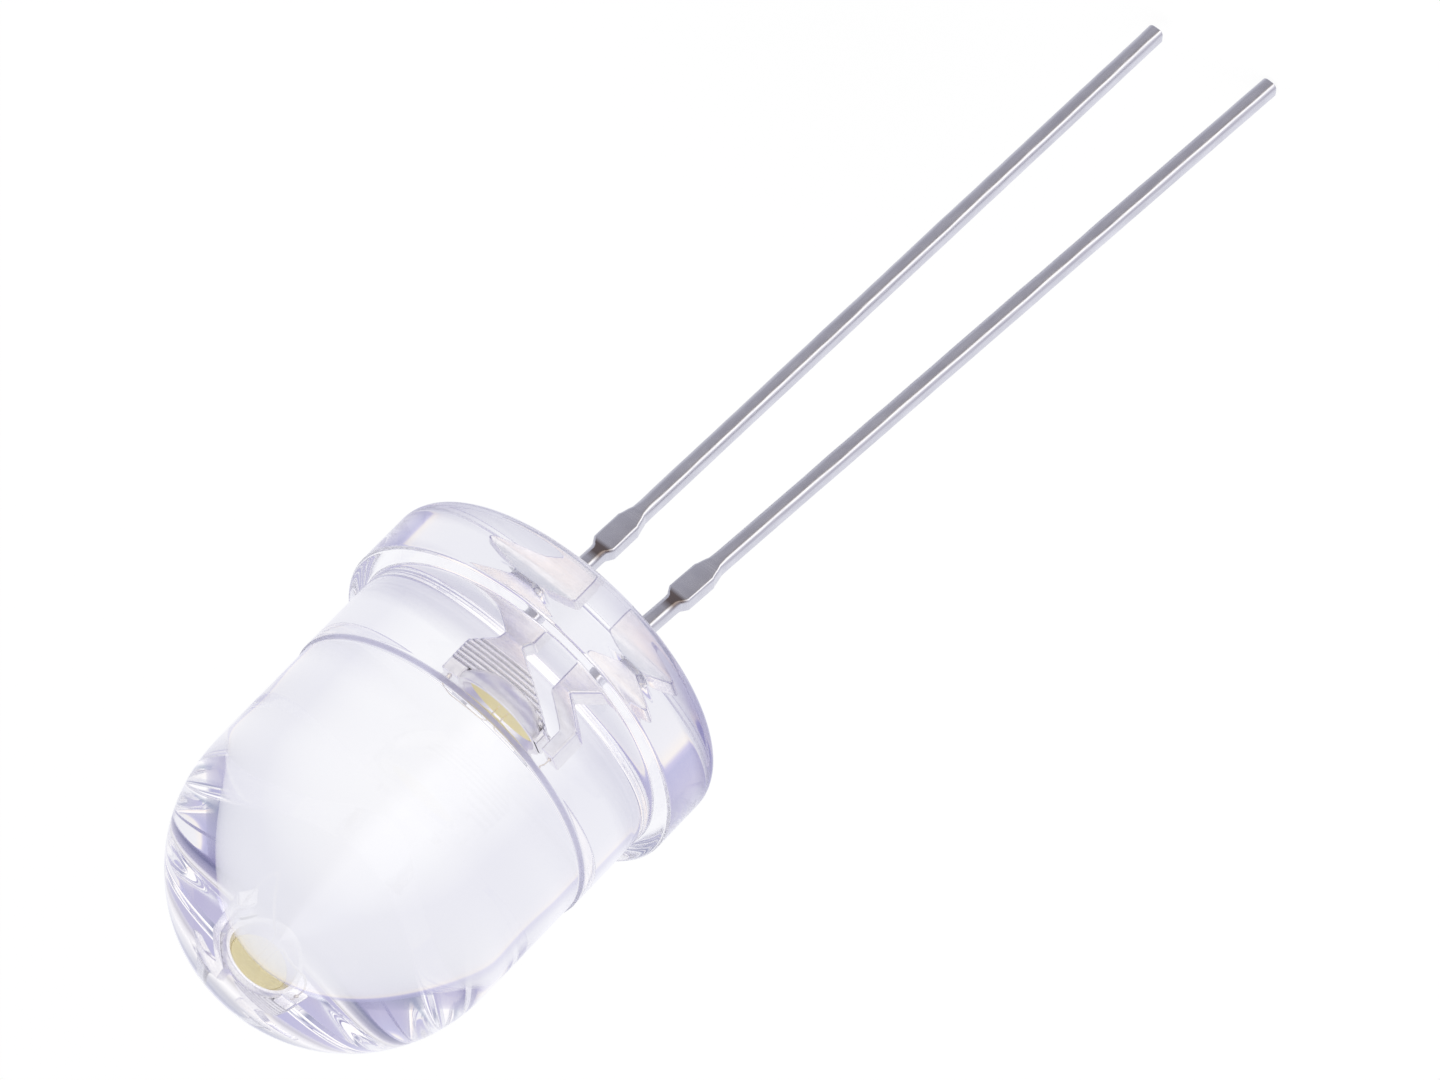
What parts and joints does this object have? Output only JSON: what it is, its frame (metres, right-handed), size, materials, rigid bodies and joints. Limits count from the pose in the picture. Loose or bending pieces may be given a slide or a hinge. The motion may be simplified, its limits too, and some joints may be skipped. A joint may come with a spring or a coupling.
{
  "type": "through-hole light-emitting diode",
  "caption": "Clear round light-emitting diode with a domed lens, a flange, a stamped frame with a reflector cup, and straight square leads for soldering through a board.",
  "frame": {"origin": "centre of the flange's flat back face, on the lens's axis", "axes": "+Z along the lens's axis from the flange's back face to the dome, the leads leaving towards -Z; the stamped frame lies in the XZ plane, with the cathode at -X and the anode at +X"},
  "size_m": [0.011, 0.011, 0.0414],
  "materials": {
    "lens": "clear cast epoxy, polished",
    "lead_metal": "tin-plated steel strip, satin, with fine marks along its length",
    "die": "pale polished chip",
    "die_attach": "thin glue, matt",
    "phosphor": "pale yellow, matt, dished",
    "bond_wire": "fine gold wire, bright"
  },
  "bodies": {
    "root": {"lens": "lens", "cathode_lead": "lead_metal", "anode_lead": "lead_metal", "led_die": "die", "die_attach": "die_attach", "phosphor": "phosphor", "cathode_wire": "bond_wire", "anode_wire": "bond_wire"}
  },
  "joints": []
}
